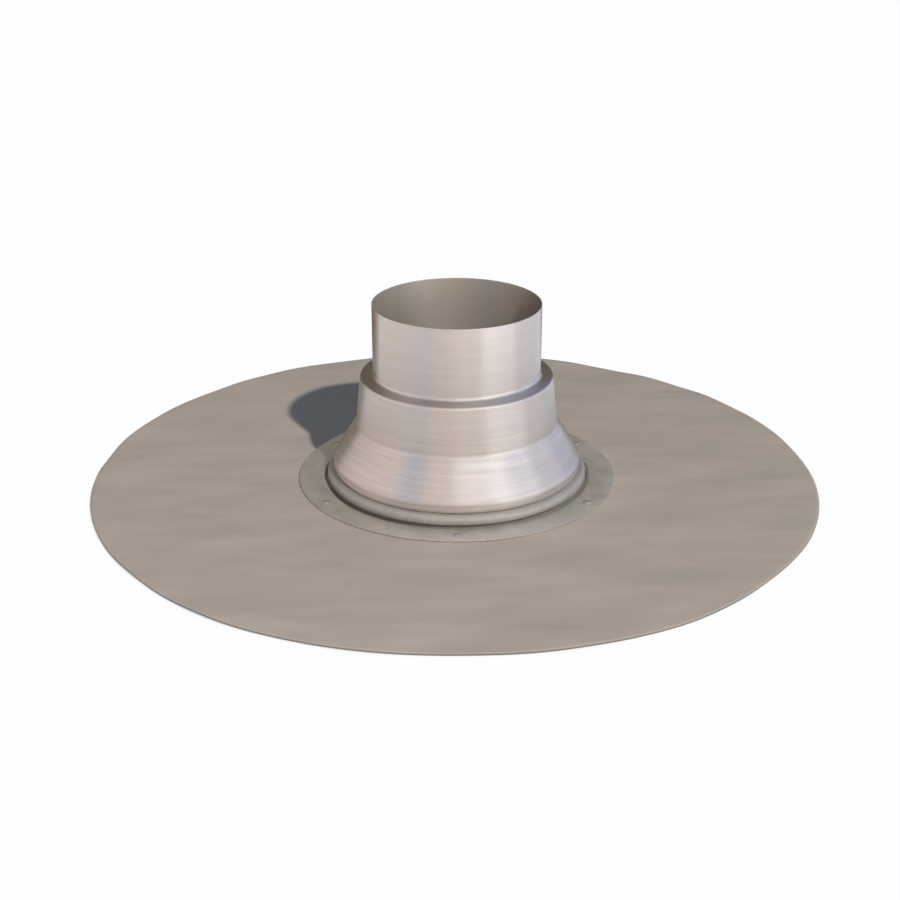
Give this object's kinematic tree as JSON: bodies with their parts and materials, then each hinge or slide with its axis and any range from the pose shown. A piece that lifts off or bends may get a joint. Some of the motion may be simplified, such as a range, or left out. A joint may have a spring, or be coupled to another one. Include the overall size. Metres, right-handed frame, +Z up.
{
  "type": "pipe flashing boot",
  "caption": "Spun metal collar on a beaded base ring, clamped by a flat riveted ring to a large round sheet of roofing membrane.",
  "frame": {"origin": "on the roof plane under the membrane, on the axis of the pipe", "axes": "+Z up the pipe, square to the roof; X and Y lie in the roof plane"},
  "size_m": [0.5799, 0.58, 0.147],
  "materials": {
    "spun_aluminium": "bare, spun",
    "rolled_aluminium": "bare, satin",
    "ring_aluminium": "bare, satin",
    "rivet_aluminium": "bare",
    "roof_membrane": "matt, smooth"
  },
  "bodies": {
    "root": {"spun_cone": "spun_aluminium", "base_ring": "rolled_aluminium", "membrane": "roof_membrane", "clamp_ring": "ring_aluminium", "rivets": "rivet_aluminium"}
  },
  "joints": []
}
